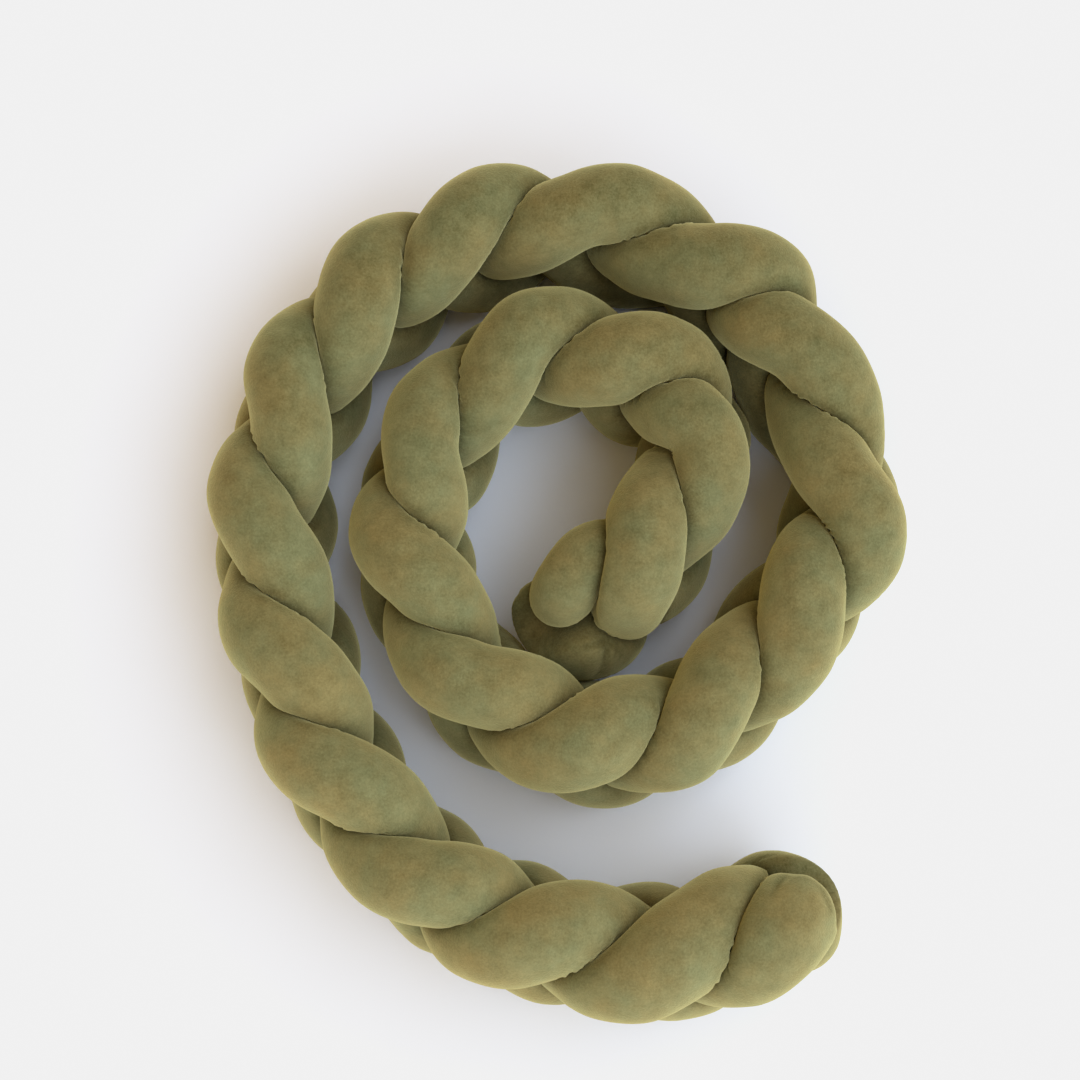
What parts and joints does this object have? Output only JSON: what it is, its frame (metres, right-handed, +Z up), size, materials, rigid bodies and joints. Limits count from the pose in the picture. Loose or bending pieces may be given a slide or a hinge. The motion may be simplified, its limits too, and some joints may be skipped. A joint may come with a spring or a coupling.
{
  "type": "braided crib bumper",
  "caption": "Long soft braid of stuffed velour tubes, standing on its edge and coiled into a flat spiral, for lining the inside of a crib.",
  "frame": {"origin": "middle of the coil's footprint, on the floor it rests on", "axes": "+Z up, +Y along the coil's longer side away from the braid's outer end, +X towards that outer end"},
  "size_m": [0.4676, 0.5784, 0.1366],
  "materials": {
    "velour": "olive green plush velour, short soft pile"
  },
  "bodies": {
    "root": {"strand_1": "velour", "strand_2": "velour", "strand_3": "velour"}
  },
  "joints": []
}
